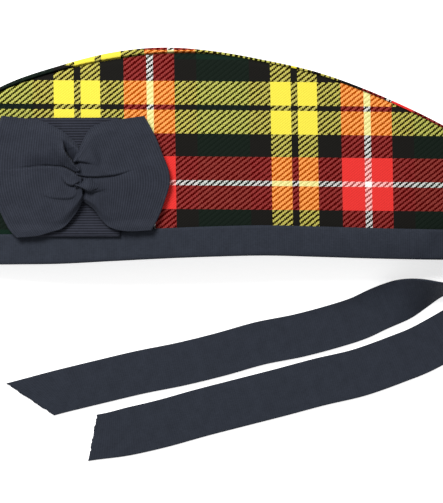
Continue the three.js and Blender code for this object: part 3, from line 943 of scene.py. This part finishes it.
def fold_height(point, wing):
    """What the folds add at a place: each lip stands up, and the cloth beside it dips under."""
    height = 0
    for fold in laid_folds[wing]:
        away, side, at = beside(fold["points"], point)
        signed = away * side * fold["side"]
        (rise, over_reach), (dip, under_reach) = fold["up"], fold["down"]
        over = rise * math.exp(-max(signed, 0) / (over_reach * MM))
        under = -dip * math.exp(-((min(signed, 0) / (under_reach * MM)) ** 2))
        strength = (1 - smooth(at, *fold["fade"])) * (smooth(at, 0, fold["grow"]) if fold["grow"] else 1)
        lip_width = fold["lip"] * MM
        groove = fold["groove"] * math.exp(-(((signed + GROOVE_REACH) / GROOVE_REACH) ** 2))
        height += strength * (mix(under, over, smooth(signed, -lip_width, lip_width)) - groove) * MM
    return height


print("folds:", {wing: len(folds) for wing, folds in laid_folds.items()})

# %% [markdown]
# Each wing's two runs fill the same outline. The lower one lies flat, and a half turn joins them at the wide end.
# The upper one stands highest at the gathers and sinks to its edges. Next to the knot it is tucked under.

# %% The wings
WINGS = {
    "front": {
        "inner": [(83, 199), (82.8, 190), (82.5, 181), (82, 170), (81.3, 160), (80, 149)],
        "top": [(80, 149), (77.6, 144.7), (70, 137.5), (63.5, 131.8), (53, 126), (41, 120.8), (19, 117.5), (3, 116)],
        "outer": [(19, 237.5), (11, 229), (4, 216), (-3, 199), (-7, 180), (-7, 160), (-3, 138), (3, 116)],
        "foot": [(83, 199), (81, 205), (75, 215), (64, 227.5), (50, 232.5), (37.5, 236), (19, 237.5)],
    },
    "rear": {
        "inner": [(81.5, 200), (79, 190), (77.5, 180), (76, 170), (73.6, 162)],
        "top": [
            (73.6, 162), (76.5, 155.3), (80, 148), (83.5, 140), (87.5, 132.5),
            (93, 127), (100, 123.8), (109, 121.3), (125, 119), (142.5, 116.5),
        ],
        "outer": [
            (150, 230.5), (158, 215), (164.5, 197), (168, 184),
            (167, 171), (161, 155), (153, 135.5), (142.5, 116.5),
        ],
        "foot": [
            (81.5, 200), (88, 204), (95.5, 210.5), (101, 218.5),
            (109, 226.5), (120, 230.5), (134, 231.5), (150, 230.5),
        ],
    },
}
WING_COLUMNS = 150  # of the upper run
WING_TURN = 8
WING_BACK = 24  # of the lower run
WING_ROWS = 160
BEFORE_LAST = 0.97  # the turn goes on from here
WING_RIBBON = 66 * MM
WING_LOFT = 4.6 * MM
LOFT_FADES = (0.05, 0.95)  # between these shares of the wing's length
RIM = 0.1  # along an edge, over this share of the width, the wing keeps less,
RIM_LOFT = 0.35  # down to this share of its loft,
RIM_FOLDS = 0.3  # and of its folds
UPPER_EDGE = (0.88, 0.99)  # shares of the width: the tuck ends here, and the lift begins
NEAR_KNOT = 0.3  # of the length
WING_UNEVEN = 0.6 * MM
WING_UNEVEN_SIZE = 12 * MM
TUCK = {  # how far down, over which shares of the length and the width, and the upper edge's lift
    "front": {"drop": 0.9, "reach": (0, 0.025), "from": (0, 0.4), "lift": 0},
    "rear": {"drop": 2.0, "reach": (0.05, 0.11), "from": (-0.4, 0.4), "lift": 2.4},
}


def coons(edges, s, t):
    """The point of a patch between four curves: s runs from inner to outer, and t from foot to top."""
    inner, outer, foot, top = (edges[name] for name in ("inner", "outer", "foot", "top"))
    ruled = inner(t).lerp(outer(t), s) + foot(s).lerp(top(s), t)
    return ruled - (inner(0).lerp(outer(0), s)).lerp(inner(1).lerp(outer(1), s), t)


def upper_run(side, flat, share, t):
    """How high the upper run stands at a place, over a run that lies flat."""
    tuck = TUCK[side]
    rim = smooth(min(t, 1 - t), 0, RIM)
    clear = smooth(share, 0, NEAR_KNOT)
    at_top = smooth(t, *UPPER_EDGE)
    height = WING_LOFT * (1 - smooth(share, *LOFT_FADES)) * mix(RIM_LOFT, 1, rim)
    height += fold_height(flat, side) * mix(RIM_FOLDS, 1, rim)
    sunk = tuck["drop"] * (1 - smooth(share, *tuck["reach"])) * (1 - at_top) * smooth(t, *tuck["from"])
    height += (tuck["lift"] * at_top * (1 - clear) - sunk) * MM
    return height + WING_UNEVEN * noise.noise(Vector((flat.x, flat.y, 3)) / WING_UNEVEN_SIZE) * clear


def make_wing(side, node):
    edges = {name: photo_curve(points) for name, points in WINGS[side].items()}
    length = edges["top"].length
    cloth = COCKADE["cloth"]
    radius = (COCKADE["edge"] - cloth) / 2
    columns = WING_COLUMNS + WING_TURN + WING_BACK

    def place(s, t):
        i = round(s * columns)
        if i <= WING_COLUMNS:
            share = i / WING_COLUMNS
            flat = coons(edges, share, t)
            height = max(2 * radius + upper_run(side, flat, share, t), radius)
        elif i < WING_COLUMNS + WING_TURN:
            angle = pi * (i - WING_COLUMNS) / WING_TURN
            last, before = coons(edges, 1, t), coons(edges, BEFORE_LAST, t)
            flat = last + (last - before).normalized() * radius * sin(angle)
            height = radius + radius * cos(angle)
        else:
            share = (columns - i) / WING_BACK
            flat = coons(edges, share, t)
            height = 0
        return Vector((flat.x, flat.y, wing_base(flat.x, flat.y) + cloth / 2 + height))

    def cloth_at(s, t):
        i = round(s * columns)
        along = min(i / WING_COLUMNS, 1) + max(i - WING_COLUMNS - WING_TURN, 0) / WING_BACK
        return (length * along, t * WING_RIBBON)

    bm = bent_grid(columns, WING_ROWS, place, cloth_at)
    if side == "front":
        bmesh.ops.reverse_faces(bm, faces=bm.faces)
    wing = new_piece(node + "_ribbon", bm, bow_grosgrain, "grosgrain_ribbon", node)
    thicken(wing, cloth, 0)
    print(node, "is a loop of", round(2 * length / MM), "mm of ribbon")
    return wing, 2 * length


front_wing, front_loop = make_wing("front", "cockade_front_wing")
rear_wing, rear_loop = make_wing("rear", "cockade_rear_wing")

# %% [markdown]
# The middle of the bow is tied by a short end that is tucked over the gathers. It is a small folded tab, pointed
# where it comes out and round where it turns under. It is a Coons patch again, domed across its width.

# %% The knot
TAB = {
    "inner": [(75.3, 185.8), (75, 185.3), (75.3, 184.8)],
    "top": [(75.3, 184.8), (81, 182), (86, 179), (92, 177.6), (98, 178.6)],
    "outer": [(95.3, 190.4), (98.4, 187.6), (99.5, 183), (98, 178.6)],
    "foot": [(75.3, 185.8), (79, 186.6), (84.7, 189.4), (90.6, 191.6), (95.3, 190.4)],
}
TAB_COLUMNS = 48
TAB_ROWS = 32
TAB_FOOT = 9.6 * MM
TAB_TOP = 6.6 * MM
TAB_DOME = 1.0 * MM
TAB_END = 3.0 * MM
TAB_TURN = (0.55, 1.05)  # shares of its length
TAB_THICK = 1.2 * MM
TAB_CLOTH = (14 * MM, 8 * MM)
tab_edges = {name: photo_curve(points) for name, points in TAB.items()}


def tab_place(s, t):
    """The tab's lower edge stands clear, its upper edge is in the gathers, and its round end turns down."""
    flat = coons(tab_edges, s, t)
    dome = TAB_DOME * max(1 - (2 * t - 1) ** 2, 0) ** 0.5
    height = mix(TAB_FOOT, TAB_TOP, smooth(t, 0, 1)) + dome - TAB_END * smooth(s, *TAB_TURN)
    return Vector((flat.x, flat.y, wing_base(flat.x, flat.y) + height))


def tab_cloth(s, t):
    return (s * TAB_CLOTH[0], t * TAB_CLOTH[1])


bm = bent_grid(TAB_COLUMNS, TAB_ROWS, tab_place, tab_cloth)
knot = new_piece("cockade_knot_tab", bm, bow_grosgrain, "grosgrain_ribbon", "cockade_knot")
thicken(knot, TAB_THICK)
print("the tab is", round(tab_edges["top"].length / MM), "mm long")

# %% [markdown]
# The tails leave the back of the band, turn over on their edges and lie down on the table. Their routes are the
# solids' own. Each row says how far the ribbon's middle is behind the cap and below its band, as shares of one
# reach, then its roll in degrees, and how high its foot is, as a share of its height at the seam.

# %% The tails' routes
TAIL_REACH = 250 * MM
TAILS = {
    "tail_inner": {
        "width": 24.5, "slant": 21.5, "end_width": 1.0,
        "route": [
            (-0.056, -0.037, 0, 1), (-0.024, -0.037, 3, 0.88), (0.011, -0.034, 20, 0.52), (0.043, -0.022, 55, 0.16),
            (0.061, 0.004, 82, 0.02), (0.054, 0.034, 90, 0), (0.025, 0.054, 90, 0), (-0.011, 0.06, 88, 0),
            (-0.04, 0.063, 82, 0), (-0.074, 0.067, 69, 0), (-0.118, 0.077, 43, 0), (-0.163, 0.092, 15, 0),
            (-0.208, 0.11, 3, 0), (-0.253, 0.131, 0, 0), (-0.298, 0.146, 0, 0), (-0.387, 0.17, 0, 0),
            (-0.477, 0.188, 0, 0), (-0.566, 0.213, 0, 0), (-0.656, 0.235, 0, 0), (-0.746, 0.253, 0, 0),
            (-0.835, 0.274, 0, 0), (-0.925, 0.296, 0, 0), (-0.995, 0.3145, 0, 0),
        ],
    },
    "tail_outer": {
        "width": 27, "slant": -9.4, "end_width": 0.93,
        "route": [
            (-0.056, -0.037, 0, 1.1), (-0.024, -0.037, 3, 0.98), (0.014, -0.038, 27, 0.69), (0.048, -0.038, 64, 0.32),
            (0.079, -0.008, 83, 0.06), (0.099, 0.036, 88, 0), (0.086, 0.076, 84, 0), (0.054, 0.11, 68, 0),
            (0.016, 0.134, 42, 0), (-0.029, 0.155, 10, 0), (-0.074, 0.181, 1, 0), (-0.118, 0.204, 0, 0),
            (-0.163, 0.222, 0, 0), (-0.253, 0.254, 0, 0), (-0.342, 0.275, 0, 0), (-0.432, 0.299, 0, 0),
            (-0.522, 0.322, 0, 0), (-0.611, 0.345, 0, 0), (-0.701, 0.37, 0, 0), (-0.79, 0.39, 0, 0),
            (-0.854, 0.401, 0, 0),
        ],
    },
}


def tail_point(back, below):
    return HALF + TAIL_REACH * back, band_edge(HALF) - TAIL_REACH * below


SEAT = cap_top(*tail_point(*TAILS["tail_inner"]["route"][0][:2])) + GAP
print("the tails start", round(SEAT / MM, 1), "mm above the table")


def centripetal(points, samples):
    """Dense points of a centripetal Catmull-Rom curve, which doesn't overshoot where its points lie close."""
    before = points[0] + (points[0] - points[1])
    after = points[-1] + (points[-1] - points[-2])
    around = [before, *points, after]
    dense = []
    for p in zip(around, around[1:], around[2:], around[3:]):
        d = [max((b - a).length ** 0.5, 1e-9) for a, b in zip(p, p[1:])]
        leave, reach = (
            ((p[k] - p[k - 1]) / d[k - 1] - (p[k + 1] - p[k - 1]) / (d[k - 1] + d[k]) + (p[k + 1] - p[k]) / d[k]) * d[1]
            for k in (1, 2)
        )
        bend, twist = -3 * p[1] + 3 * p[2] - 2 * leave - reach, 2 * p[1] - 2 * p[2] + leave + reach
        dense += [p[1] + leave * t + bend * t**2 + twist * t**3 for t in (k / samples for k in range(samples))]
    return [*dense, points[-1]]


# %% [markdown]
# The ribbon is swept along its route, and its roll stands it up on its edge. The free end is cut on a slant, drawn
# in a little and slightly frayed, and the flat run lifts here and there from the table, as ribbon does.

# %% The tails
TAIL_CLOTH = 0.8 * MM
SLANT_REACH = 32 * MM  # the slant comes in over this length,
DRAWN_IN = 24 * MM  # and the end narrows over this
ROUTE_SAMPLES = 40
TAIL_STEP = 1.2 * MM
TAIL_ROWS = 40
FRAY = 0.6 * MM
FRAY_SIZE = 1.3 * MM
TAIL_CURL = 0.5 * MM
CURL_SIZE = 60 * MM
CURL_STARTS = (0.3, 0.5)  # shares of the length


def make_tail(node, width, slant, end_width, route):
    width, slant = width * MM, slant * MM
    places = [Vector((*tail_point(back, below), foot * SEAT)) for back, below, _, foot in route]
    line = centripetal(places, ROUTE_SAMPLES)
    turns = centripetal([Vector((row[2], 0, 0)) for row in route], ROUTE_SAMPLES)
    lengths = running_lengths(line)
    total = lengths[-1]
    columns = round(total / TAIL_STEP)
    stations = []
    k = 0
    for i in range(columns + 1):
        target = total * i / columns
        while k < len(lengths) - 2 and lengths[k + 1] < target:
            k += 1
        f = (target - lengths[k]) / max(lengths[k + 1] - lengths[k], 1e-12)
        along = (line[k + 1] - line[k]).xy.normalized()
        roll = radians(min(max(mix(turns[k].x, turns[k + 1].x, f), 0), 90))
        stations.append((line[k].lerp(line[k + 1], f), along, roll))

    def place(s, t):
        foot, along, roll = stations[round(s * columns)]
        side = 2 * t - 1
        left = Vector((-along.y, along.x, 0))
        forward = Vector((along.x, along.y, 0))
        across = left * cos(roll) - Vector((0, 0, sin(roll)))
        normal = left * sin(roll) + Vector((0, 0, cos(roll)))
        centre = Vector((foot.x, foot.y, max(foot.z, 0) + width / 2 * sin(roll) + TAIL_CLOTH / 2 * cos(roll)))
        lean = -slant / 2 * side * min(max(1 - (1 - s) * total / SLANT_REACH, 0), 1)
        if s > 1 - 0.5 / columns:
            lean += FRAY * noise.noise(Vector((t * width / FRAY_SIZE, total, 0)))
        wave = noise.noise(Vector((s * total / CURL_SIZE, side * 0.4, len(node))))
        curl = TAIL_CURL * cos(roll) * (0.5 + wave) * smooth(s, *CURL_STARTS)
        reach = width / 2 * mix(1, end_width, smooth(s, 1 - DRAWN_IN / total, 1))
        return centre + across * side * reach + forward * lean + normal * max(curl, 0)

    def cloth(s, t):
        return (total * s, width * t)

    bm = bent_grid(columns, TAIL_ROWS, place, cloth)
    tail = new_piece(node + "_ribbon", bm, tail_grosgrain, "grosgrain_ribbon", node)
    thicken(tail, TAIL_CLOTH, 0)
    print(node, "is", round(total / MM), "mm long")


for node, tail in TAILS.items():
    make_tail(node, **tail)
